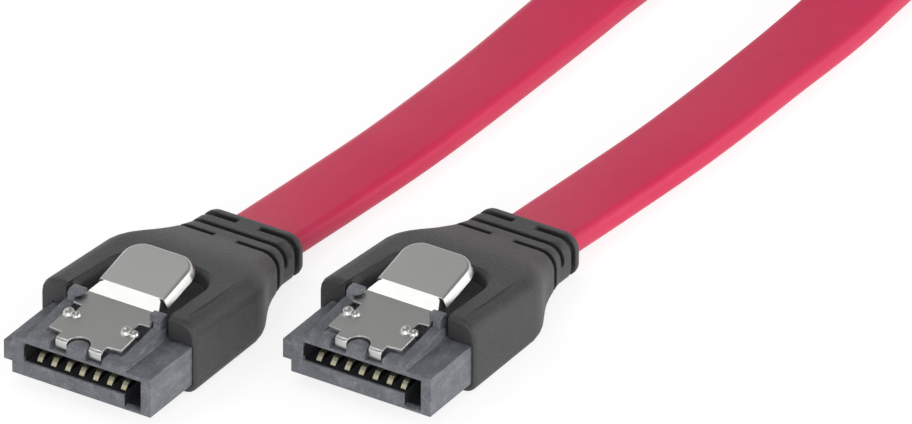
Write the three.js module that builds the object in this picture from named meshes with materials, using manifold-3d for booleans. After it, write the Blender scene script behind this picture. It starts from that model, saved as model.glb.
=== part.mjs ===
// Serial data cable: a flat ribbon with a straight latching plug on each end.
// Millimetres, +Z up. The origin is on the flat underside of plug A's
// overmold. Both plugs point to -Y and lie on the same floor; the ribbon
// leaves them to +Y, turns on edge, and folds back on itself in a hairpin.
import * as THREE from "three";
import { mergeVertices } from "three/addons/utils/BufferGeometryUtils.js";
import Module from "manifold-3d";

const wasm = await Module();
wasm.setup();

// dimensions
// Plug coordinates: x across, y from the mating face toward the cable, z up
// from the floor, x = 0 in the middle of the seven contacts.
const REST_Y = 10.5; // middle of the flat underside, the part's origin
const PLUG_B = [17.83, 11.62]; // where plug B's axes are, seen from plug A
const FIT = 0.04; // moulding allowance between pieces that touch

const BODY_L = -5.85; // insulator body
const BODY_R = 6.75;
const BODY_Z0 = 0.95;
const BODY_Z1 = 4.3;
const BODY_REAR = 8.2; // end of the block inside the overmold
const TAB_L = -6.6; // key tab on the left side
const TAB_Z0 = 1.95;
const TAB_Z1 = 3.6;
const SLOT_L = -4.75; // L-shaped mating slot
const SLOT_R = 5.85;
const SLOT_Z0 = 2.28;
const SLOT_Z1 = 3.85;
const SLOT_DEEP = 4.9;
const LEG_L = 4.4; // the short leg of the L
const LEG_Z0 = 1.3;
const LEG_BEVEL = [0.48, 0.22]; // depth and height of the bevel below the leg
const PLATFORM_W = 4.48; // half width of the raised deck under the latch
const DECK_Z = 4.72;
const DECK_REAR = 5.6; // behind it the deck drops to a sill under the overmold
const SILL_Z = 4.4;
const RAIL_IN = 3.5; // the two rails beside the latch
const RAIL_Z = 5.28;
const POST_X = -0.05; // round-backed post in the latch's notch
const POST_R = 0.85;

const CONTACTS = 7;
const PITCH = 1.27;
const CONTACT_W = 0.45;
const CONTACT_T = 0.18;
const TAIL_Z = 1.98;
const TAIL_END = 9.4;

const LATCH_T = 0.28;
const PIVOT = [0.72, 5.05]; // y, z of the latch's front fold
const LEAF = [[0.3, 5.085], [6.6, 5.7], [7.8, 6.3]]; // top line, y and z
const PAD_FRONT = 7.8; // the flange starts behind a relief slit
const PAD_REAR = 12.95; // lower edge of the flange
const PAD_RISE = 0.226; // slope of the thumb pad
const PAD_W = 3.27; // half width at the lower edge of the flange
const PAD_CORNER = 1.8;
const FLANGE = 0.8; // height of the flange round the pad
const FLANGE_LEAN = 25; // degrees that the flange leans outward
const BEND_R = 0.3; // outer radius of the pad's bend
const HOOK_Y = [5.25, 6.36]; // front and rear of the hooks over the latch
const HOOK_X = [3.08, 4.22]; // inner and outer side of the hooks
const HOOK_Z = 6.2;
const HOOK_T = 0.33; // thickness of a hook's roof
const BARB_X = 2.62; // middle of the pressed-up barbs
const BARB_Y = 3.5;

const MOULD_FRONT = 5.75;
// y, half width, underside, top, top radius, bottom radius
const MOULD = [
  [5.75, 6.74, 0.28, 6.0, 1.15, 0.75],
  [5.83, 6.89, 0.13, 6.14, 1.25, 0.85],
  [6.0, 6.98, 0.03, 6.23, 1.3, 0.9],
  [6.25, 7.02, 0.0, 6.26, 1.3, 0.9],
  [9.5, 7.02, 0.0, 5.92, 1.3, 0.9],
  [12.5, 7.04, 0.0, 5.7, 1.35, 0.9],
  [14.6, 7.05, 0.0, 5.55, 1.4, 0.9],
  [15.6, 6.9, 0.0, 5.46, 1.45, 0.95],
  [16.4, 6.62, 0.02, 5.37, 1.5, 1.0],
  [17.2, 6.22, 0.05, 5.25, 1.6, 1.05],
  [18.0, 5.8, 0.1, 5.08, 1.65, 1.1],
  [18.8, 5.45, 0.16, 4.87, 1.6, 1.15],
  [19.6, 5.2, 0.24, 4.62, 1.5, 1.15],
  [20.4, 5.02, 0.32, 4.38, 1.45, 1.15],
  [21.1, 4.86, 0.36, 4.2, 1.35, 1.1],
  [21.7, 4.68, 0.36, 4.08, 1.3, 1.1],
  [22.3, 4.56, 0.3, 3.98, 1.3, 1.1],
  [23.6, 4.5, 0.19, 3.85, 1.3, 1.1],
  [24.85, 4.47, 0.08, 3.73, 1.3, 1.1],
  [25.15, 4.39, 0.13, 3.66, 1.25, 1.05],
  [25.3, 4.23, 0.26, 3.54, 1.15, 0.95],
];
const POCKET_W = 3.95; // half width of the finger pocket
const POCKET_REAR = 13.75;
const POCKET_Z = 4.45;
const GROOVE_DEEP = 0.45;
const GROOVES = [[20.95, 0.55], [22.55, 0.5], [24.2, 0.65]]; // middle in y, and width
const BRIDGE = 1.0; // half width of the webs left across grooves
const BORE_FRONT = 16.9; // where the ribbon ends inside the overmold
const STRIP_GAP = 0.05; // clearance round the ribbon and the wires

const RIBBON_W = 6.5;
const RIBBON_T = 2.0;
const RIBBON_STEPS = 80;
// x, y, z and roll in degrees of the ribbon's middle, in the part's frame
const ROUTE = [
  [0, 6.5, 2.45, 0],
  [0, 14.8, 1.6, 0],
  [0.05, 19, 1.26, 0],
  [0.4, 25, 1.05, 0],
  [1.1, 34, 1.03, 0],
  [1.45, 46, 1.03, 0],
  [1.5, 60, 1.2, 5],
  [2.1, 75, 2.12, 29],
  [4.4, 92, 3.14, 69],
  [7.6, 108, 3.28, 90],
  [9.7, 126, 3.28, 90],
  [9.8, 150.6, 3.28, 90],
  [6.2, 159.3, 3.28, 90],
  [-2.5, 162.9, 3.28, 90],
  [-11.2, 159.3, 3.28, 90],
  [-14.8, 150.6, 3.28, 90],
  [-14.6, 131, 3.28, 90],
  [-8.6, 115.5, 3.28, 90],
  [-4.8, 104.5, 3.28, 90],
  [-7.5, 94.6, 3.28, 90],
  [-16.5, 90.6, 3.28, 90],
  [-25.5, 94.6, 3.28, 90],
  [-28.2, 104.5, 3.28, 90],
  [-24.4, 115.5, 3.28, 90],
  [-18.4, 131, 3.28, 90],
  [-18.2, 150.6, 3.28, 90],
  [-13.6, 161.7, 3.28, 90],
  [-2.5, 166.3, 3.28, 90],
  [8.6, 161.7, 3.28, 90],
  [13.2, 150.6, 3.28, 90],
  [13.3, 126, 3.28, 90],
  [15, 109, 3.26, 98],
  [18.1, 91, 2.55, 138],
  [19.33, 71.62, 1.2, 175],
  [19.28, 57.62, 1.03, 180],
  [18.93, 45.62, 1.03, 180],
  [18.23, 36.62, 1.05, 180],
  [17.88, 30.62, 1.26, 180],
  [17.83, 26.42, 1.6, 180],
  [17.83, 18.12, 2.45, 180],
];

// colours
const finish = (color, roughness, metalness = 0) =>
  new THREE.MeshStandardMaterial({ color, roughness, metalness });
const MAT = {
  insulator: finish(0x5d6268, 0.55),
  overmould: finish(0x414244, 0.62),
  steel: finish(0x9c9d98, 0.34, 1),
  gold: finish(0xe8d48a, 0.25, 1),
  copper: finish(0xc8cacc, 0.35, 1),
  core: finish(0xe6e3da, 0.6),
  jacket: finish(0xc84860, 0.42),
};

// helpers
function solid(geometry) {
  const g = geometry.clone();
  g.deleteAttribute("normal");
  g.deleteAttribute("uv");
  const merged = mergeVertices(g, 1e-4);
  return new wasm.Manifold(new wasm.Mesh({
    numProp: 3,
    vertProperties: new Float32Array(merged.attributes.position.array),
    triVerts: new Uint32Array(merged.index.array),
  }));
}

function geometryOf(body) {
  const mesh = body.getMesh();
  const g = new THREE.BufferGeometry();
  g.setAttribute("position", new THREE.BufferAttribute(new Float32Array(mesh.vertProperties), 3));
  g.setIndex(new THREE.BufferAttribute(new Uint32Array(mesh.triVerts), 1));
  g.computeVertexNormals();
  return g;
}

function box(x0, x1, y0, y1, z0, z1) {
  const g = new THREE.BoxGeometry(x1 - x0, y1 - y0, z1 - z0);
  g.translate((x0 + x1) / 2, (y0 + y1) / 2, (z0 + z1) / 2);
  return solid(g);
}

const shapeOf = (points) => new THREE.Shape(points.map(([u, v]) => new THREE.Vector2(u, v)));

// An outline in y and z, swept along x.
function prismX(points, x0, x1) {
  const g = new THREE.ExtrudeGeometry(shapeOf(points), { depth: x1 - x0, bevelEnabled: false });
  g.applyMatrix4(new THREE.Matrix4().makeBasis(
    new THREE.Vector3(0, 1, 0), new THREE.Vector3(0, 0, 1), new THREE.Vector3(1, 0, 0)));
  g.translate(x0, 0, 0);
  return solid(g);
}

// An outline in x and y, swept along z.
function prismZ(points, z0, z1) {
  const g = new THREE.ExtrudeGeometry(shapeOf(points), { depth: z1 - z0, bevelEnabled: false });
  g.translate(0, 0, z0);
  return solid(g);
}

// Rings of equal length joined into one closed skin; each ring's ends are
// closed by the triangles of its own outline, seen along `flat` (a list of
// two coordinate indices).
function skin(rings, flat) {
  const n = rings[0].length;
  const at = rings.flat().flat();
  const faces = [];
  for (let r = 0; r + 1 < rings.length; r++) {
    for (let i = 0; i < n; i++) {
      const j = (i + 1) % n;
      const a = r * n + i, b = r * n + j, c = (r + 1) * n + j, d = (r + 1) * n + i;
      faces.push(a, b, c, a, c, d);
    }
  }
  const lid = (ring, base, flip) => {
    const plan = ring.map((p) => new THREE.Vector2(p[flat[0]], p[flat[1]]));
    const turn = THREE.ShapeUtils.isClockWise(plan) !== flip;
    for (const t of THREE.ShapeUtils.triangulateShape(plan, [])) {
      const [p, q, s] = t;
      const area = (plan[q].x - plan[p].x) * (plan[s].y - plan[p].y)
        - (plan[s].x - plan[p].x) * (plan[q].y - plan[p].y);
      const order = (area < 0) === turn ? [p, q, s] : [p, s, q];
      faces.push(base + order[0], base + order[1], base + order[2]);
    }
  };
  lid(rings[0], 0, true);
  lid(rings[rings.length - 1], (rings.length - 1) * n, false);
  const g = new THREE.BufferGeometry();
  g.setAttribute("position", new THREE.BufferAttribute(new Float32Array(at), 3));
  g.setIndex(faces);
  return g;
}

// A closed skin turned the right way out.
function outward(geometry) {
  const p = geometry.attributes.position.array, f = geometry.index.array;
  let volume = 0;
  for (let i = 0; i < f.length; i += 3) {
    const [a, b, c] = [f[i] * 3, f[i + 1] * 3, f[i + 2] * 3];
    volume += p[a] * (p[b + 1] * p[c + 2] - p[b + 2] * p[c + 1])
      + p[a + 1] * (p[b + 2] * p[c] - p[b] * p[c + 2])
      + p[a + 2] * (p[b] * p[c + 1] - p[b + 1] * p[c]);
  }
  if (volume < 0) for (let i = 0; i < f.length; i += 3) [f[i + 1], f[i + 2]] = [f[i + 2], f[i + 1]];
  return geometry;
}

// One rounded section of the overmold, anticlockwise seen from the front.
function mouldRing([y, w, z0, z1, rt, rb], inset = 0, arc = 5) {
  const ring = [];
  const corner = (cx, cz, r, from) => {
    for (let i = 0; i <= arc; i++) {
      const a = THREE.MathUtils.degToRad(from + (90 * i) / arc);
      ring.push([cx + r * Math.cos(a), y, cz + r * Math.sin(a)]);
    }
  };
  const hw = w - inset, lo = z0 + inset, hi = z1 - inset;
  const a = Math.max(rt - inset, 0.3), b = Math.max(rb - inset, 0.3);
  corner(hw - b, lo + b, b, -90);
  corner(hw - a, hi - a, a, 0);
  corner(-hw + a, hi - a, a, 90);
  corner(-hw + b, lo + b, b, 180);
  return ring;
}

// The overmold's section at any y, between the listed ones.
function mouldAt(y) {
  let i = 0;
  while (i + 2 < MOULD.length && MOULD[i + 1][0] < y) i++;
  const [p, q] = [MOULD[i], MOULD[i + 1]];
  const t = (y - p[0]) / (q[0] - p[0]);
  return p.map((v, k) => v + (q[k] - v) * t);
}

// A U-shaped plan: straight sides from y0 back to a rounded rear.
function uPlan(hw, y0, y1, r, arc = 6) {
  const plan = [[-hw, y0], [hw, y0]];
  for (let i = 0; i <= arc; i++) {
    const a = (Math.PI / 2) * (i / arc);
    plan.push([hw - r + r * Math.cos(a), y1 - r + r * Math.sin(a)]);
  }
  for (let i = 0; i <= arc; i++) {
    const a = Math.PI / 2 + (Math.PI / 2) * (i / arc);
    plan.push([-hw + r + r * Math.cos(a), y1 - r + r * Math.sin(a)]);
  }
  return plan;
}

// Plans stacked at heights that may follow a slope.
function stack(levels) {
  return solid(outward(skin(levels.map(([plan, z]) => plan.map(([x, y]) => [x, y, z(y)])), [0, 1])));
}

// sub-parts
const contactX = (i) => (i - (CONTACTS - 1) / 2) * PITCH;

function housing() {
  let body = box(BODY_L, BODY_R, 0, BODY_REAR, BODY_Z0, BODY_Z1);
  body = body.add(box(TAB_L, BODY_L + 0.4, 0, MOULD_FRONT - 0.03, TAB_Z0, TAB_Z1));
  // raised deck with a rounded front lip
  const deck = [[0, BODY_Z1 - 0.3], [BODY_REAR - 0.6, BODY_Z1 - 0.3], [BODY_REAR - 0.6, SILL_Z],
    [DECK_REAR, SILL_Z], [DECK_REAR, DECK_Z], [0.35, DECK_Z], [0.16, DECK_Z - 0.05],
    [0.04, DECK_Z - 0.17], [0, DECK_Z - 0.32]];
  body = body.add(prismX(deck, -PLATFORM_W, PLATFORM_W));
  // rails that climb to the rear on both sides of the latch
  const rail = [[1.0, BODY_Z1], [5.72, BODY_Z1], [5.72, RAIL_Z], [5.2, RAIL_Z],
    [1.2, DECK_Z + 0.04], [1.0, DECK_Z - 0.02]];
  body = body.add(prismX(rail, RAIL_IN, PLATFORM_W)).add(prismX(rail, -PLATFORM_W, -RAIL_IN));
  // hooks over the latch's rear ears
  const [hookFront, hookRear] = HOOK_Y, [hookIn, hookOut] = HOOK_X;
  const brow = [[hookRear, HOOK_Z - 0.1], [hookRear - 0.12, HOOK_Z], [hookFront + 0.3, HOOK_Z],
    [hookFront, HOOK_Z - 0.24]];
  const roof = [[hookFront, HOOK_Z - HOOK_T - 0.09], [hookRear, HOOK_Z - HOOK_T], ...brow];
  const stem = [[hookFront, BODY_Z1 - 0.1], [hookRear, BODY_Z1 - 0.1], ...brow];
  for (const s of [-1, 1]) {
    const span = (p, a, b) => prismX(p, Math.min(s * a, s * b), Math.max(s * a, s * b));
    body = body.add(span(stem, 3.6, hookOut)).add(span(roof, hookIn, hookOut - 0.02));
    // slanted cheek on the inner side of each hook
    const cheek = [[s * (hookIn - 0.1), hookFront - 0.1], [s * (hookIn + 0.34), hookFront - 0.1],
      [s * (hookIn - 0.1), hookFront + 0.46]];
    body = body.subtract(prismZ(s < 0 ? cheek.reverse() : cheek, 5.5, 7));
    // openings beside the latch
    const opening = [s * 2.6, s * RAIL_IN].sort((a, b) => a - b);
    body = body.subtract(box(...opening, 3.75, 4.9, 4.15, 5));
  }
  // notches each side of the post, for the latch's two front tabs
  body = body.subtract(box(-2.42, POST_X - POST_R, -1, 1.35, 4.12, 6));
  body = body.subtract(box(POST_X + POST_R, 2.32, -1, 1.35, 4.12, 6));
  const post = [];
  for (let i = 0; i <= 10; i++) {
    const a = (Math.PI * i) / 10;
    post.push([POST_X + POST_R * Math.cos(a), 0.42 + POST_R * Math.sin(a)]);
  }
  const postPlan = [[POST_X - POST_R, 0], [POST_X + POST_R, 0], ...post];
  const postTop = [[0, BODY_Z1], [1.5, BODY_Z1], [1.5, DECK_Z + 0.26], [0.5, DECK_Z + 0.2],
    [0.26, DECK_Z + 0.13], [0.08, DECK_Z - 0.02], [0, DECK_Z - 0.22]];
  body = body.add(prismZ(postPlan, BODY_Z1 - 0.15, 5.2).intersect(prismX(postTop, -1.2, 1.2)));
  // the L-shaped slot, its mouth and the bevel below its leg
  body = body.subtract(box(SLOT_L, SLOT_R, -1, SLOT_DEEP, SLOT_Z0, SLOT_Z1));
  body = body.subtract(box(LEG_L, SLOT_R, -1, SLOT_DEEP, LEG_Z0, SLOT_Z1));
  const sillCut = [[-1, SLOT_Z0 - 0.3], [0.24, SLOT_Z0 + 0.02], [0.24, SLOT_Z0 + 0.3], [-1, SLOT_Z0 + 0.3]];
  body = body.subtract(prismX(sillCut, SLOT_L - 0.02, LEG_L + 0.02));
  const [bevelY, bevelZ] = LEG_BEVEL;
  body = body.subtract(prismX([[-bevelY, LEG_Z0 - 2 * bevelZ], [bevelY, LEG_Z0], [bevelY, LEG_Z0 + 0.3],
    [-bevelY, LEG_Z0 + 0.3]], LEG_L, SLOT_R));
  const lintelCut = [[-1, SLOT_Z1 + 0.28], [0.18, SLOT_Z1 - 0.02], [0.18, SLOT_Z1 - 0.3], [-1, SLOT_Z1 - 0.3]];
  body = body.subtract(prismX(lintelCut, SLOT_L - 0.02, SLOT_R + 0.02));
  // channels that hold the contacts
  for (let i = 0; i < CONTACTS; i++) {
    const x = contactX(i);
    body = body.subtract(box(x - 0.31, x + 0.31, 0.5, BODY_REAR + 1, 1.72, SLOT_Z0 + 0.06));
    body = body.subtract(box(x - 0.31, x + 0.31, SLOT_DEEP - 0.5, SLOT_DEEP + 0.4, 1.72, SLOT_Z0 + 0.25));
  }
  return body;
}

function contact(i) {
  // top line of the strip: rounded tip, bow, arm, tail
  const line = [[0.72, 2.16], [0.95, 2.42], [1.2, 2.66], [1.45, 2.76], [1.8, 2.75], [2.3, 2.63],
    [3.3, 2.36], [4.3, 2.14], [5.2, TAIL_Z + CONTACT_T / 2], [TAIL_END, TAIL_Z + CONTACT_T / 2]];
  const under = line.map(([y, z], k) => {
    const a = line[Math.max(k - 1, 0)], b = line[Math.min(k + 1, line.length - 1)];
    const l = Math.hypot(b[0] - a[0], b[1] - a[1]);
    return [y + (CONTACT_T * (b[1] - a[1])) / l, z - (CONTACT_T * (b[0] - a[0])) / l];
  });
  const x = contactX(i);
  return prismX([...under, ...line.reverse()], x - CONTACT_W / 2, x + CONTACT_W / 2);
}

const padTop = (y) => LEAF[2][1] + (y - LEAF[2][0]) * PAD_RISE;

// The pad's bend at an angle from its flat top: how far the skin is inside
// the flange's lower edge, and how far below the flat.
const flangeReach = (FLANGE - BEND_R) * Math.tan(THREE.MathUtils.degToRad(FLANGE_LEAN)) + BEND_R;
const padInset = (angle, r = BEND_R) => flangeReach - r * Math.sin(THREE.MathUtils.degToRad(angle));
const padDrop = (angle, r = BEND_R) => r * (1 - Math.cos(THREE.MathUtils.degToRad(angle)));

function latch() {
  const [front, fold, ramp] = LEAF;
  const t = LATCH_T;
  // side outline: front tabs turned down, leaf, ramp, start of the pad
  const inPad = PAD_FRONT + 0.7;
  const side = [
    [front[0] + t, 4.22], [front[0] + t, front[1] - t - 0.02], [fold[0] + 0.03, fold[1] - t],
    [ramp[0] + 0.05, ramp[1] - t],
    [inPad, padTop(inPad) - t], [inPad, padTop(inPad)], [ramp[0], ramp[1]], [fold[0], fold[1]],
    [front[0] + 0.3, front[1] + 0.03], [front[0] + 0.13, front[1] - 0.04], [front[0] + 0.03, front[1] - 0.14],
    [front[0], front[1] - 0.3], [front[0], 4.22],
  ];
  const notch = [];
  for (let i = 0; i <= 10; i++) {
    const a = Math.PI - (Math.PI * i) / 10;
    notch.push([POST_X + 0.98 * Math.cos(a), 0.42 + 0.98 * Math.sin(a)]);
  }
  const flatW = PAD_W - padInset(0);
  const half = [[2.08, 0], [2.08, 1.22], [3.3, 1.3], [3.28, 3.78], [2.6, 3.88], [2.6, 4.82],
    [3.46, 4.92], [3.46, 6.42], [3.24, 6.5], [3.16, 6.75], [flatW + 0.02, 7.62],
    [flatW - 0.14, 7.7], [flatW - 0.14, 9]];
  const plan = [[-2.08, 0], [POST_X - 0.98, 0], ...notch, [POST_X + 0.98, 0], ...half,
    ...half.slice(1).reverse().map(([x, y]) => [-x, y])];
  let body = prismX(side, -4, 4).intersect(prismZ(plan, 3, 9));
  // thumb pad: a shallow tray turned over, with its edges rolled down
  const level = (y0, inset, drop) =>
    [uPlan(PAD_W - inset, y0, PAD_REAR - inset, PAD_CORNER - inset), (y) => padTop(y) - drop];
  const turn = 90 - FLANGE_LEAN;
  const outer = stack([
    level(PAD_FRONT, 0, FLANGE),
    ...[1, 0.67, 0.33, 0].map((f) => level(PAD_FRONT, padInset(turn * f), padDrop(turn * f))),
  ]);
  const lean = Math.tan(THREE.MathUtils.degToRad(FLANGE_LEAN));
  const [inset, drop] = [padInset(turn, BEND_R - t), t + padDrop(turn, BEND_R - t)];
  const inner = stack([
    level(PAD_FRONT - 0.4, inset - (FLANGE + 0.4 - drop) * lean, FLANGE + 0.4),
    level(PAD_FRONT - 0.4, inset, drop), level(PAD_FRONT - 0.4, padInset(0), t),
  ]);
  body = body.add(outer.subtract(inner));
  // barbs pressed up at the edges of the leaf, each with a split crest
  const leafTop = front[1] + (BARB_Y - front[0]) * (fold[1] - front[1]) / (fold[0] - front[0]);
  for (const s of [-1, 1]) {
    for (const [x, size] of [[-0.28, 1.12], [0.42, 0.84]]) {
      const g = new THREE.SphereGeometry(size, 12, 8);
      g.rotateX(Math.PI / 2);
      g.scale(0.44, 0.48, 0.46);
      g.translate(s * BARB_X + x, BARB_Y, leafTop - 0.06);
      body = body.add(solid(g).subtract(box(-9, 9, 0, 9, 0, leafTop - 0.15)));
    }
  }
  return body;
}

function overmold(cut) {
  let body = solid(outward(skin(MOULD.map((s) => mouldRing(s)), [0, 2])));
  const top = (y) => mouldAt(Math.min(Math.max(y, 6.25), 15.3))[3];
  // finger pocket, open to the front, with drafted walls and broken edges
  body = body.subtract(stack([
    [uPlan(POCKET_W, 4, POCKET_REAR, 2.3), () => POCKET_Z],
    [uPlan(POCKET_W + 0.12, 4, POCKET_REAR + 0.12, 2.4), (y) => top(y) - 0.42],
    [uPlan(POCKET_W + 0.3, 4, POCKET_REAR + 0.3, 2.5), (y) => top(y) - 0.16],
    [uPlan(POCKET_W + 0.62, 4, POCKET_REAR + 0.62, 2.75), (y) => top(y) + 0.04],
    [uPlan(POCKET_W + 0.9, 4, POCKET_REAR + 0.9, 2.9), (y) => top(y) + 1.2],
  ]));
  // room for the deck, rails and hooks at the front of the pocket
  body = body.subtract(box(-PLATFORM_W - 0.12, PLATFORM_W + 0.12, 4, HOOK_Y[1] + 0.14, BODY_Z1 - 0.2, 8));
  // seat of the insulator block
  body = body.subtract(box(BODY_L - FIT, BODY_R + FIT, 4, BODY_REAR + FIT, BODY_Z0 - FIT, BODY_Z1 + FIT));
  const pocketRear = BODY_REAR - 0.6 + FIT;
  body = body.subtract(box(-PLATFORM_W - FIT, PLATFORM_W + FIT, 4, pocketRear, BODY_Z1 - 0.2, SILL_Z + FIT));
  // strain-relief grooves
  GROOVES.forEach(([y, w], k) => {
    const ends = [y - w / 2, y + w / 2].map((at) => mouldRing(mouldAt(at), -1));
    // the last groove's core stops before the rear end
    const coreEnds = [y - 1, y + (k === 2 ? 0.65 : 1)].map((at) => mouldRing(mouldAt(at), GROOVE_DEEP));
    const ring = solid(outward(skin(ends, [0, 2]))).subtract(solid(outward(skin(coreEnds, [0, 2]))));
    const web = k === 1
      ? box(-8, 8, y - 1, y + 1, -2, 2.2)
      : box(-BRIDGE, BRIDGE, y - 1, y + 1, -2, 8);
    body = body.subtract(ring.subtract(web));
  });
  for (const c of cut) body = body.subtract(c);
  return body;
}

const wireEnds = (i) => {
  const x = contactX(i);
  return [[x, 8.35, TAIL_Z + CONTACT_T / 2 + 0.26 + 0.02], [x * 0.72, BORE_FRONT + 0.04, 2.45]];
};
// ground, pair, ground, pair, ground
const isDrain = (i) => i % 3 === 0;

function wire(i, grow = 0) {
  const [a, b] = wireEnds(i).map((p) => new THREE.Vector3(...p));
  const r = (isDrain(i) ? 0.17 : 0.24) + grow;
  const axis = b.clone().sub(a);
  const g = new THREE.CylinderGeometry(r, r, axis.length() + grow * 2, 10);
  const upright = new THREE.Vector3(0, 1, 0);
  g.applyQuaternion(new THREE.Quaternion().setFromUnitVectors(upright, axis.clone().normalize()));
  g.translate(...a.clone().add(b).multiplyScalar(0.5).toArray());
  return solid(g);
}

// ribbon
// A centre line with a roll at each control point: 0 lies flat, 90 stands on
// edge with the left side up.
class RibbonRoute extends THREE.CatmullRomCurve3 {
  constructor(route) {
    super(route.map(([x, y, z]) => new THREE.Vector3(x, y, z)), false, "centripetal");
    this.rolls = route.map((p) => p[3]);
  }

  rollAt(t) {
    const n = this.rolls.length - 1;
    const at = t * n, i = Math.min(Math.floor(at), n - 1), f = at - i;
    const s = f * f * (3 - 2 * f);
    return THREE.MathUtils.degToRad(this.rolls[i] + (this.rolls[i + 1] - this.rolls[i]) * s);
  }

  computeFrenetFrames(segments) {
    const tangents = [], normals = [], binormals = [];
    const up = new THREE.Vector3(0, 0, 1);
    for (let i = 0; i <= segments; i++) {
      const u = i / segments;
      const tangent = this.getTangentAt(u);
      const right = new THREE.Vector3().crossVectors(tangent, up).normalize();
      const over = new THREE.Vector3().crossVectors(right, tangent);
      const roll = this.rollAt(this.getUtoTmapping(u));
      const across = right.multiplyScalar(Math.cos(roll)).addScaledVector(over, -Math.sin(roll));
      tangents.push(tangent);
      normals.push(across);
      binormals.push(new THREE.Vector3().crossVectors(tangent, across));
    }
    return { tangents, normals, binormals };
  }
}

const route = new RibbonRoute(ROUTE);
route.arcLengthDivisions = 2000;

function ribbonSection(grow = 0) {
  const w = RIBBON_W / 2 + grow, r = RIBBON_T / 2 + grow;
  const points = [];
  for (const [cx, from] of [[w - r, -90], [-(w - r), 90]]) {
    for (let i = 0; i <= 5; i++) {
      const a = THREE.MathUtils.degToRad(from + 36 * i);
      points.push(new THREE.Vector2(cx + r * Math.cos(a), r * Math.sin(a)));
    }
  }
  return new THREE.Shape(points);
}

function ribbon(grow = 0) {
  const g = new THREE.ExtrudeGeometry(ribbonSection(grow), {
    steps: RIBBON_STEPS, extrudePath: route, bevelEnabled: false, curveSegments: 1,
  });
  return solid(g);
}

// assembly
const object = new THREE.Group();

function addMesh(group, name, body, material) {
  const mesh = new THREE.Mesh(geometryOf(body), material);
  mesh.name = name;
  group.add(mesh);
}

const bore = ribbon(STRIP_GAP);

function addPlug(name, x, y) {
  const plug = new THREE.Group();
  plug.position.set(x, y - REST_Y, 0);
  object.add(plug);
  addMesh(plug, `${name}_housing`, housing(), MAT.insulator);
  for (let i = 0; i < CONTACTS; i++) addMesh(plug, `${name}_contact_${i + 1}`, contact(i), MAT.gold);
  const hinge = new THREE.Group();
  hinge.position.set(0, PIVOT[0], PIVOT[1]);
  plug.add(hinge);
  addMesh(hinge, `${name}_latch`, latch().translate([0, -PIVOT[0], -PIVOT[1]]), MAT.steel);
  const near = bore.translate([-x, REST_Y - y, 0]).intersect(box(-9, 9, BORE_FRONT, 40, -3, 9));
  const [w, t] = [RIBBON_W / 2 + 0.1, RIBBON_T / 2 + 0.1];
  const cuts = [near, box(-w, w, BORE_FRONT - 0.05, BORE_FRONT + 0.3, 2.45 - t, 2.45 + t)];
  for (let i = 0; i < CONTACTS; i++) {
    const cx = contactX(i);
    cuts.push(box(cx - 0.31, cx + 0.31, 8, TAIL_END + 0.06, 1.78, 2.18), wire(i, STRIP_GAP));
  }
  addMesh(plug, `${name}_overmold`, overmold(cuts), MAT.overmould);
  for (let i = 0; i < CONTACTS; i++) {
    addMesh(plug, `${name}_wire_${i + 1}`, wire(i), isDrain(i) ? MAT.copper : MAT.core);
  }
}

addPlug("plug_a", 0, 0);
addPlug("plug_b", PLUG_B[0], PLUG_B[1]);
addMesh(object, "cable", ribbon(), MAT.jacket);

export default object;
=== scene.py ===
from math import cos, hypot, radians, sin, sqrt

import bmesh
import bpy
from mathutils import Matrix, Vector


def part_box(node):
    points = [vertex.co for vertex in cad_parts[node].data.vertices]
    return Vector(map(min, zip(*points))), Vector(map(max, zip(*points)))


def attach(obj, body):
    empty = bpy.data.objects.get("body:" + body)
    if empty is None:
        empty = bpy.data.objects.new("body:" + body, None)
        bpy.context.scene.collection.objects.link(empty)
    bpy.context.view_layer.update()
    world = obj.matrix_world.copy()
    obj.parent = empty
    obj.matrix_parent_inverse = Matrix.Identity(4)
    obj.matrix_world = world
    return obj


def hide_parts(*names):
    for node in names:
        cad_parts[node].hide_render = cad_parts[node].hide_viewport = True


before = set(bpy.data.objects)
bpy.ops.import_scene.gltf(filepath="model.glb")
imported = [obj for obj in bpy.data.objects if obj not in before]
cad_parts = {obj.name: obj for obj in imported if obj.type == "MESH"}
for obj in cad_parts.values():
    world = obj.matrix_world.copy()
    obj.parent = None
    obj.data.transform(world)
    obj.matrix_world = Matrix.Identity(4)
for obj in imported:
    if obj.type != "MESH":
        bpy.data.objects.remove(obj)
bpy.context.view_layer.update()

MM = 0.001
PLUGS = ("plug_a", "plug_b")
CONTACTS_PER_PLUG = 7
MIDDLE_CONTACT = (CONTACTS_PER_PLUG + 1) // 2
DRAIN_WIRES = (1, 4, 7)
ROOT = "cable_and_plugs"

# camera
VIEW_AZIMUTH = 32.04
VIEW_ELEVATION = 30.73
VIEW_ROLL = 0.35
VIEW_DISTANCE = 1.4
VIEW_CENTRE = Vector((9.93, 28.0, 0.95)) * MM
VIEW_LENS = 713.6
SENSOR_WIDTH = 36
NEAREST_SEEN = 0.01
FARTHEST_SEEN = 50


def towards(azimuth, elevation):
    """Unit vector out from the picture's centre; azimuth 0 is the front."""
    a, e = radians(azimuth), radians(elevation)
    return Vector((sin(a) * cos(e), -cos(a) * cos(e), sin(e)))


def facing_centre(back):
    """The turn of a camera or lamp that stands in direction back and looks in."""
    return (-back).to_track_quat("-Z", "Y")


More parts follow.
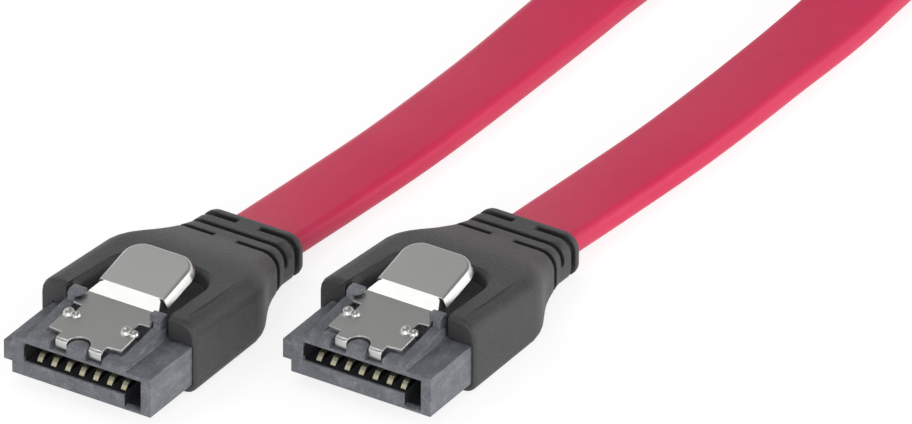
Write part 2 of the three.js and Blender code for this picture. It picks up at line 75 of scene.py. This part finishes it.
def place_camera():
    back = towards(VIEW_AZIMUTH, VIEW_ELEVATION)
    bpy.ops.object.camera_add(location=VIEW_CENTRE + back * VIEW_DISTANCE)
    camera = bpy.context.object
    camera.name = "product_camera"
    camera.rotation_mode = "QUATERNION"
    roll = Matrix.Rotation(radians(VIEW_ROLL), 3, "Z").to_quaternion()
    camera.rotation_quaternion = facing_centre(back) @ roll
    camera.data.lens = VIEW_LENS
    camera.data.sensor_width = SENSOR_WIDTH
    camera.data.clip_start = NEAREST_SEEN
    camera.data.clip_end = FARTHEST_SEEN
    bpy.context.scene.camera = camera


place_camera()

# ribbon cable
RIBBON_W = 6.5 * MM
RIBBON_T = 2.0 * MM
RIBBON_CORNER = 0.8 * MM
RING_STEP = 1.0 * MM
STEPS_PER_KNOT = 80
ARC_STEPS = 5
RIBBON_UV = "along_the_ribbon"
# x, y, z and roll in degrees of the ribbon's middle: the route of the CAD part
ROUTE = [
    (0, .0065, .00245, 0), (0, .0148, .0016, 0), (.00005, .019, .00126, 0),
    (.0004, .025, .00105, 0), (.0011, .034, .00103, 0), (.00145, .046, .00103, 0),
    (.0015, .06, .0012, 5), (.0021, .075, .00212, 29), (.0044, .092, .00314, 69),
    (.0076, .108, .00328, 90), (.0097, .126, .00328, 90), (.0098, .1506, .00328, 90),
    (.0062, .1593, .00328, 90), (-.0025, .1629, .00328, 90), (-.0112, .1593, .00328, 90),
    (-.0148, .1506, .00328, 90), (-.0146, .131, .00328, 90), (-.0086, .1155, .00328, 90),
    (-.0048, .1045, .00328, 90), (-.0075, .0946, .00328, 90), (-.0165, .0906, .00328, 90),
    (-.0255, .0946, .00328, 90), (-.0282, .1045, .00328, 90), (-.0244, .1155, .00328, 90),
    (-.0184, .131, .00328, 90), (-.0182, .1506, .00328, 90), (-.0136, .1617, .00328, 90),
    (-.0025, .1663, .00328, 90), (.0086, .1617, .00328, 90), (.0132, .1506, .00328, 90),
    (.0133, .126, .00328, 90), (.015, .109, .00326, 98), (.0181, .091, .00255, 138),
    (.01933, .07162, .0012, 175), (.01928, .05762, .00103, 180), (.01893, .04562, .00103, 180),
    (.01823, .03662, .00105, 180), (.01788, .03062, .00126, 180), (.01783, .02642, .0016, 180),
    (.01783, .01812, .00245, 180),
]


def route_point(knots, i, f):
    """A smooth curve through the knots, f of the way from i to i + 1.

    Each gap is paced by the root of its length, so that close knots make no loop.
    """
    last = len(knots) - 1
    b, c = knots[i], knots[i + 1]
    a = knots[i - 1] if i else b * 2 - c
    d = knots[i + 2] if i + 2 <= last else c * 2 - b
    ab, bc, cd = (sqrt((q - p).length) for p, q in ((a, b), (b, c), (c, d)))
    leave = ((b - a) / ab - (c - a) / (ab + bc) + (c - b) / bc) * bc
    arrive = ((c - b) / bc - (d - b) / (bc + cd) + (d - c) / cd) * bc
    return (b + leave * f + (b * -3 + c * 3 - leave * 2 - arrive) * f ** 2
            + (b * 2 - c * 2 + leave + arrive) * f ** 3)


def ribbon_rings():
    """Ring centres at even steps, with the direction, roll and run at each."""
    knots = [Vector(p[:3]) for p in ROUTE]
    fine = []
    for i in range(len(knots) - 1):
        for k in range(STEPS_PER_KNOT):
            f = k / STEPS_PER_KNOT
            ease = f * f * (3 - 2 * f)
            roll = ROUTE[i][3] + (ROUTE[i + 1][3] - ROUTE[i][3]) * ease
            fine.append((route_point(knots, i, f), roll))
    fine.append((knots[-1], ROUTE[-1][3]))
    run = [0.0]
    for (p, _), (q, _) in zip(fine, fine[1:]):
        run.append(run[-1] + (q - p).length)
    count = round(run[-1] / RING_STEP)
    rings, j = [], 0
    for k in range(count + 1):
        at = run[-1] * k / count
        while j + 2 < len(run) and run[j + 1] < at:
            j += 1
        f = (at - run[j]) / (run[j + 1] - run[j])
        (p, r), (q, s) = fine[j], fine[j + 1]
        rings.append((p.lerp(q, f), (q - p).normalized(), radians(r + (s - r) * f), at))
    return rings


def ribbon_section():
    """Round-cornered section: across the width, then through the thickness."""
    w, t, r = RIBBON_W / 2 - RIBBON_CORNER, RIBBON_T / 2 - RIBBON_CORNER, RIBBON_CORNER
    points = []
    for cx, ct, start in ((w, -t, -90), (w, t, 0), (-w, t, 90), (-w, -t, 180)):
        for k in range(ARC_STEPS + 1):
            a = radians(start + 90 * k / ARC_STEPS)
            points.append((cx + r * cos(a), ct + r * sin(a)))
    return points


def make_cable():
    """The jacket: the section carried along the route, with a flat cap at each end."""
    rings, section = ribbon_rings(), ribbon_section()
    n = len(section)
    around = [0.0]
    for (a, b), (c, d) in zip(section, section[1:] + section[:1]):
        around.append(around[-1] + hypot(c - a, d - b))
    verts, faces, uvs = [], [], []
    for centre, ahead, roll, _ in rings:
        right = ahead.cross(Vector((0, 0, 1))).normalized()
        over = right.cross(ahead)
        across = right * cos(roll) - over * sin(roll)
        through = ahead.cross(across)
        verts += [centre + across * a + through * b for a, b in section]
    for k in range(len(rings) - 1):
        for i in range(n):
            j = (i + 1) % n
            faces.append((k * n + i, k * n + j, (k + 1) * n + j, (k + 1) * n + i))
            low, high = rings[k][3], rings[k + 1][3]
            uvs += [(around[i], low), (around[i + 1], low), (around[i + 1], high), (around[i], high)]
    for first, order in ((0, -1), ((len(rings) - 1) * n, 1)):
        ring = [first + i for i in range(n)][::order]
        faces.append(ring)
        uvs += [(around[i - first], 0) for i in ring]
    mesh = bpy.data.meshes.new("red_ribbon_cable")
    mesh.from_pydata(verts, [], faces)
    layer = mesh.uv_layers.new(name=RIBBON_UV)
    for loop, uv in zip(layer.data, uvs):
        loop.uv = uv
    for face in mesh.polygons:
        face.use_smooth = len(face.vertices) == 4
    mesh.validate()
    piece = bpy.data.objects.new("red_ribbon_cable", mesh)
    bpy.context.collection.objects.link(piece)
    return piece, [tuple(ring[0]) for ring in rings]


cable, cable_path = make_cable()
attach(cable, ROOT)
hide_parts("cable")

# materials


def grey(tone):
    return (tone, tone, tone)


def set_stops(ramp, stops):
    """Give a colour ramp one element per stop."""
    while len(ramp.elements) < len(stops):
        ramp.elements.new(0.5)
    for element, (at, colour) in zip(ramp.elements, stops):
        element.position = at
        element.color = (*colour, 1)


class Finish:
    """A material built node by node, on the object's own coordinates in metres."""

    def __init__(self, name, **shader):
        self.material = bpy.data.materials.new(name)
        self.material.use_nodes = True
        self.nodes = self.material.node_tree.nodes
        self.shader = self.nodes["Principled BSDF"]
        self.place = self.node("ShaderNodeTexCoord").outputs["Object"]
        for socket, value in shader.items():
            self.shader.inputs[socket.replace("_", " ")].default_value = value

    def node(self, kind, **settings):
        """A new node; a setting is a value of one of its inputs, or else a property."""
        made = self.nodes.new(kind)
        for key, value in settings.items():
            if key in made.inputs:
                made.inputs[key].default_value = value
            else:
                setattr(made, key, value)
        return made

    def link(self, output, target):
        self.material.node_tree.links.new(output, target)

    def feed(self, output, socket):
        """Join an output to one of the shader's own sockets."""
        self.link(output, self.shader.inputs[socket])

    def stretched(self, scale, where=None):
        """Coordinates, of the object if none are given, with each axis scaled by itself."""
        mapping = self.node("ShaderNodeMapping", Scale=scale)
        self.link(where or self.place, mapping.inputs["Vector"])
        return mapping.outputs["Vector"]

    def noise(self, scale, detail, roughness=0.5, where=None):
        made = self.node("ShaderNodeTexNoise", Scale=scale, Detail=detail, Roughness=roughness)
        self.link(where or self.place, made.inputs["Vector"])
        return made.outputs["Fac"]

    def ramp(self, value, stops):
        made = self.node("ShaderNodeValToRGB")
        set_stops(made.color_ramp, stops)
        self.link(value, made.inputs["Fac"])
        return made.outputs["Color"]

    def colour(self, value, stops):
        self.feed(self.ramp(value, stops), "Base Color")

    def roughness(self, value, smoothest, roughest):
        made = self.node("ShaderNodeMapRange")
        made.inputs["To Min"].default_value = smoothest
        made.inputs["To Max"].default_value = roughest
        self.link(value, made.inputs["Value"])
        self.feed(made.outputs["Result"], "Roughness")

    def blended_colour(self, kind, amount, first, second):
        """Two colours made one; a Mix node has them at inputs 6 and 7 and output 2."""
        made = self.node("ShaderNodeMix", data_type="RGBA", blend_type=kind)
        made.inputs[0].default_value = amount
        self.link(first, made.inputs[6])
        self.link(second, made.inputs[7])
        self.feed(made.outputs[2], "Base Color")

    def bump(self, *layers):
        """Each layer is a height, its strength and its depth in metres."""
        last = None
        for height, strength, depth in layers:
            made = self.node("ShaderNodeBump", Strength=strength, Distance=depth)
            self.link(height, made.inputs["Height"])
            if last:
                self.link(last, made.inputs["Normal"])
            last = made.outputs["Normal"]
        self.feed(last, "Normal")


def overmold_plastic():
    finish = Finish("charcoal_spark_grained_plastic", Roughness=0.55)
    cloud, grain = finish.noise(350, 3), finish.noise(7500, 2, 0.6)
    body = finish.ramp(cloud, [(0.3, (0.026, 0.0267, 0.028)), (0.72, (0.035, 0.0358, 0.037))])
    speck = finish.ramp(grain, [(0.5, grey(0)), (0.72, grey(0.014))])
    finish.blended_colour("ADD", 1.0, body, speck)
    finish.roughness(finish.noise(5200, 2), 0.4, 0.62)
    finish.bump((grain, 1.0, 0.00005), (finish.noise(2600, 2), 0.35, 0.00005))
    return finish.material


def insulator_plastic():
    finish = Finish("slate_glass_filled_plastic", Roughness=0.5)
    flow = finish.noise(1100, 4, 0.65, finish.stretched((1.0, 0.45, 1.0)))
    fibre = finish.noise(4600, 3, 0.6, finish.stretched((1.0, 0.5, 1.0)))
    body = finish.ramp(flow, [(0.28, (0.085, 0.092, 0.107)), (0.52, (0.130, 0.138, 0.157)),
                              (0.74, (0.212, 0.218, 0.236))])
    flecks = finish.ramp(fibre, [(0.5, grey(0)), (0.74, (0.085, 0.085, 0.088))])
    finish.blended_colour("ADD", 0.8, body, flecks)
    finish.roughness(flow, 0.3, 0.5)
    finish.bump((fibre, 0.5, 0.00003), (finish.noise(1500, 3), 0.3, 0.00004))
    return finish.material


# painted shade: a darker plastic for the faces deep inside the mating slot, standing in for the shade
# there
def slot_shade_painted():
    finish = Finish("painted_shade_slot_plastic", Roughness=0.75, Specular_IOR_Level=0.2)
    finish.colour(finish.noise(900, 3), [(0.3, (0.021, 0.022, 0.025)), (0.7, (0.034, 0.035, 0.039))])
    finish.roughness(finish.noise(2400, 2), 0.65, 0.85)
    finish.bump((finish.noise(5200, 3), 0.3, 0.00002))
    return finish.material


def latch_steel():
    finish = Finish("matte_spring_steel", Metallic=1.0, Roughness=0.33)
    rolled = finish.noise(1800, 4, 0.7, finish.stretched((8.0, 0.5, 8.0)))
    finish.colour(rolled, [(0.25, (0.505, 0.505, 0.495)), (0.75, (0.54, 0.54, 0.53))])
    finish.roughness(finish.noise(400, 2), 0.31, 0.35)
    finish.bump((rolled, 0.01, 0.00001), (finish.noise(9000, 2), 0.008, 0.00001))
    return finish.material


def contact_gold():
    finish = Finish("gold_plated_contact", Metallic=1.0, Roughness=0.35)
    finish.colour(finish.noise(2500, 2), [(0.3, (1.0, 0.93, 0.62)), (0.7, (1.0, 0.98, 0.76))])
    finish.roughness(finish.noise(6000, 2), 0.3, 0.42)
    drawn = finish.noise(5000, 2, 0.5, finish.stretched((4.0, 0.5, 4.0)))
    finish.bump((drawn, 0.08, 0.00001))
    return finish.material


def tinned_wire():
    finish = Finish("tinned_wire", Metallic=1.0, Roughness=0.35)
    finish.colour(finish.noise(3000, 2), [(0.3, grey(0.55)), (0.7, grey(0.7))])
    finish.roughness(finish.noise(6000, 2), 0.28, 0.45)
    return finish.material


def wire_core():
    finish = Finish("white_wire_core", Roughness=0.55)
    finish.colour(finish.noise(1500, 2), [(0.3, (0.72, 0.69, 0.62)), (0.7, (0.80, 0.78, 0.72))])
    finish.roughness(finish.noise(4000, 2), 0.45, 0.62)
    return finish.material


def ribbon_jacket():
    """Fine lines run along the ribbon, drawn there when the jacket was extruded."""
    finish = Finish("red_ribbon_jacket", Roughness=0.42, Specular_IOR_Level=0.35)
    along = finish.node("ShaderNodeUVMap", uv_map=RIBBON_UV).outputs["UV"]
    lines = finish.noise(1.0, 3, 0.55, finish.stretched((5200, 60, 1), along))
    body = finish.ramp(finish.noise(140, 3), [(0.3, (0.66, 0.018, 0.086)), (0.7, (0.70, 0.025, 0.098))])
    tint = finish.ramp(lines, [(0.3, grey(0.94)), (0.7, grey(1))])
    finish.blended_colour("MULTIPLY", 1.0, body, tint)
    finish.roughness(finish.noise(900, 3), 0.36, 0.5)
    finish.bump((lines, 0.12, 0.00001), (finish.noise(3200, 2), 0.1, 0.00001))
    return finish.material


FINISHES = {
    "housing": insulator_plastic(),
    "overmold": overmold_plastic(),
    "latch": latch_steel(),
    "painted_slot_shade": slot_shade_painted(),
    "contact": contact_gold(),
    "drain": tinned_wire(),
    "core": wire_core(),
    "cable": ribbon_jacket(),
}


def dress(piece, finish):
    piece.data.materials.clear()
    piece.data.materials.append(FINISHES[finish])


dress(cable, "cable")

# plug pieces
HOUSING_ROUND = 0.05 * MM
OVERMOLD_ROUND = 0.09 * MM
LATCH_ROUND = 0.04 * MM
ROUND_SEGMENTS = 2
SAME_POINT = 0.002 * MM
# angles in degrees: faces this flat are joined, edges this sharp are rounded,
# and edges up to the last one are shaded smooth
FLAT = 1.5
HOUSING_SHARP = 28
GRIP_AND_LATCH_SHARP = 36
SMOOTH = 40
FULL_FACE_WEIGHT = 100
# spans of x, y and z from the middle contact and the mating face:
# the inside of the mating slot, whose faces get painted shade
SLOT_INSIDE = ((-.0049, .006), (.00026, .0052), (.00125, .00392))
# the grip's thin web above the block's sill, and the inner end of its bore
GRIP_INNER_WALLS = (
    ((-.006, .007), (.0064, .0084), (.0042, .0046)),
    ((-.004, .004), (.0165, .0174), (.001, .004)),
)
# the latch's two folds, at the foot and the head of its ramp
LATCH_FOLDS = (
    ((-.004, .004), (.00658, .00662), (.005, .006)),
    ((-.004, .004), (.00778, .00782), (.006, .007)),
)


def only(piece):
    """Select this piece alone and make it the active one."""
    bpy.ops.object.select_all(action="DESELECT")
    piece.select_set(True)
    bpy.context.view_layer.objects.active = piece


def plug_origin(plug):
    """The point below the middle contact at the mating face."""
    low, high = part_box(f"{plug}_contact_{MIDDLE_CONTACT}")
    return Vector(((low[0] + high[0]) / 2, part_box(f"{plug}_housing")[0][1], 0))


def within(place, spans):
    return all(low < at < high for at, (low, high) in zip(place, spans))


def within_any(place, regions):
    return any(within(place, spans) for spans in regions)


def leave_out(elements, origin, regions):
    """Deselect the faces or edges that have a corner in one of the regions."""
    for element in elements:
        if element.select and any(within_any(corner.co - origin, regions) for corner in element.verts):
            element.select_set(False)


def softened_copy(node, name, origin, width, sharp, untouched=(), folds=()):
    """A merged copy of a CAD node whose sharp edges get a small round.

    Faces and edges with a corner in an untouched region stay as they are.
    Edges that lie in a region of folds are shaded as a crease.
    """
    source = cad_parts[node]
    piece = source.copy()
    piece.data = source.data.copy()
    piece.name = piece.data.name = name
    piece.parent = None
    bpy.context.collection.objects.link(piece)
    only(piece)
    bpy.ops.object.mode_set(mode="EDIT")
    bpy.ops.mesh.select_all(action="SELECT")
    bpy.ops.mesh.remove_doubles(threshold=SAME_POINT)
    bpy.ops.mesh.select_mode(type="FACE")
    leave_out(bmesh.from_edit_mesh(piece.data).faces, origin, untouched)
    bpy.ops.mesh.dissolve_limited(angle_limit=radians(FLAT))
    bpy.ops.mesh.select_all(action="DESELECT")
    bpy.ops.mesh.select_mode(type="EDGE")
    bpy.ops.mesh.edges_select_sharp(sharpness=radians(sharp))
    leave_out(bmesh.from_edit_mesh(piece.data).edges, origin, untouched)
    bpy.ops.mesh.bevel(offset=width, segments=ROUND_SEGMENTS, affect="EDGES", clamp_overlap=False)
    bpy.ops.mesh.select_all(action="DESELECT")
    bpy.ops.object.mode_set(mode="OBJECT")
    bpy.ops.object.shade_smooth_by_angle(angle=radians(SMOOTH))
    points = piece.data.vertices
    for edge in piece.data.edges:
        if all(within_any(points[end].co - origin, folds) for end in edge.vertices):
            edge.use_edge_sharp = True
    even = piece.modifiers.new("even_shading", "WEIGHTED_NORMAL")
    even.keep_sharp = True
    even.weight = FULL_FACE_WEIGHT
    bpy.ops.object.modifier_apply(modifier=even.name)
    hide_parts(node)
    return piece


def paint_slot_shade(housing, origin):
    """Faces deep inside the mating slot get a darker plastic, which is painted shade for the unlit
    inside of the block.
    """
    housing.data.materials.append(FINISHES["painted_slot_shade"])
    for face in housing.data.polygons:
        if within(face.center - origin, SLOT_INSIDE):
            # painted shade on the faces inside the slot
            face.material_index = 1


def make_housing(plug, origin):
    housing = softened_copy(f"{plug}_housing", f"{plug}_insulator_block", origin, HOUSING_ROUND,
                            HOUSING_SHARP)
    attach(housing, ROOT)
    dress(housing, "housing")
    paint_slot_shade(housing, origin)


def make_overmold(plug, origin):
    overmold = softened_copy(f"{plug}_overmold", f"{plug}_moulded_grip", origin, OVERMOLD_ROUND,
                             GRIP_AND_LATCH_SHARP, untouched=GRIP_INNER_WALLS)
    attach(overmold, ROOT)
    dress(overmold, "overmold")


def make_latch(plug, origin):
    latch = softened_copy(f"{plug}_latch", f"{plug}_sprung_latch", origin, LATCH_ROUND,
                          GRIP_AND_LATCH_SHARP, folds=LATCH_FOLDS)
    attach(latch, f"{plug}_latch")
    dress(latch, "latch")


for plug in PLUGS:
    origin = plug_origin(plug)
    make_housing(plug, origin)
    make_overmold(plug, origin)
    make_latch(plug, origin)
    for number in range(1, CONTACTS_PER_PLUG + 1):
        dress(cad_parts[f"{plug}_contact_{number}"], "contact")
        kind = "drain" if number in DRAIN_WIRES else "core"
        dress(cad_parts[f"{plug}_wire_{number}"], kind)

# floor
FLOOR_SIZE = 6
FLOOR_DROP = 0.02 * MM
FLOOR_BOUNCE = 0.8
FLOOR_SEEN = 0.3
FLOOR_GLOW = 0.81


def camera_sees(nodes, links):
    """1 where the camera, a reflection or glass looks, 0 for bounced light."""
    path = nodes.new("ShaderNodeLightPath")
    total = path.outputs["Is Camera Ray"]
    for kind in ("Is Glossy Ray", "Is Transmission Ray"):
        add = nodes.new("ShaderNodeMath")
        add.operation = "MAXIMUM"
        links.new(total, add.inputs[0])
        links.new(path.outputs[kind], add.inputs[1])
        total = add.outputs[0]
    return total


def white_floor():
    """A white floor that glows where it is looked at, and is plain for bounced light."""
    bpy.ops.mesh.primitive_plane_add(size=FLOOR_SIZE, location=(0, 0, -FLOOR_DROP))
    floor = bpy.context.object
    floor.name = "studio_floor"
    material = bpy.data.materials.new("white_sweep")
    material.use_nodes = True
    nodes, links = material.node_tree.nodes, material.node_tree.links
    nodes.clear()
    out = nodes.new("ShaderNodeOutputMaterial")
    mixed = nodes.new("ShaderNodeMixShader")
    bounce = nodes.new("ShaderNodeBsdfDiffuse")
    bounce.inputs["Color"].default_value = (*grey(FLOOR_BOUNCE), 1)
    seen = nodes.new("ShaderNodeBsdfDiffuse")
    seen.inputs["Color"].default_value = (*grey(FLOOR_SEEN), 1)
    glow = nodes.new("ShaderNodeEmission")
    glow.inputs["Strength"].default_value = FLOOR_GLOW
    both = nodes.new("ShaderNodeAddShader")
    links.new(seen.outputs[0], both.inputs[0])
    links.new(glow.outputs[0], both.inputs[1])
    links.new(camera_sees(nodes, links), mixed.inputs[0])
    links.new(bounce.outputs[0], mixed.inputs[1])
    links.new(both.outputs[0], mixed.inputs[2])
    links.new(mixed.outputs[0], out.inputs["Surface"])
    floor.data.materials.append(material)


# room and lamps
ROOM_LIGHT = 1.6
# the room's tone by the sine of the height looked at
ROOM_TONES = ((0.0, 1.0), (0.24, 0.9), (0.46, 0.23), (1.0, 0.23))
# azimuth, elevation, distance, the two sides and the power in watts
SOFTBOXES = {
    "left_overhead_softbox": (266, 62, 0.6, (0.22, 0.22), 0.45),
    "right_softbox": (104, 14, 0.7, (0.45, 0.36), 1.9),
    "front_softbox": (20, 22, 0.6, (0.45, 0.3), 0.9),
}


def soft_light(name, azimuth, elevation, distance, size, power):
    back = towards(azimuth, elevation)
    bpy.ops.object.light_add(type="AREA", location=VIEW_CENTRE + back * distance)
    lamp = bpy.context.object
    lamp.name = name
    lamp.rotation_mode = "QUATERNION"
    lamp.rotation_quaternion = facing_centre(back)
    lamp.data.shape = "RECTANGLE"
    lamp.data.size, lamp.data.size_y = size
    lamp.data.energy = power


def studio_world():
    """A pale room: bright low walls and a darker ceiling, which flat tops reflect."""
    world = bpy.data.worlds.new("studio_world")
    bpy.context.scene.world = world
    world.use_nodes = True
    nodes, links = world.node_tree.nodes, world.node_tree.links
    nodes.clear()
    out = nodes.new("ShaderNodeOutputWorld")
    sky = nodes.new("ShaderNodeBackground")
    sky.inputs["Strength"].default_value = ROOM_LIGHT
    place = nodes.new("ShaderNodeTexCoord")
    split = nodes.new("ShaderNodeSeparateXYZ")
    ramp = nodes.new("ShaderNodeValToRGB")
    set_stops(ramp.color_ramp, [(at, grey(tone)) for at, tone in ROOM_TONES])
    links.new(place.outputs["Generated"], split.inputs[0])
    links.new(split.outputs["Z"], ramp.inputs["Fac"])
    links.new(ramp.outputs["Color"], sky.inputs["Color"])
    links.new(sky.outputs[0], out.inputs["Surface"])


white_floor()
studio_world()
for softbox, setting in SOFTBOXES.items():
    soft_light(softbox, *setting)
bpy.context.scene.view_settings.view_transform = "Standard"
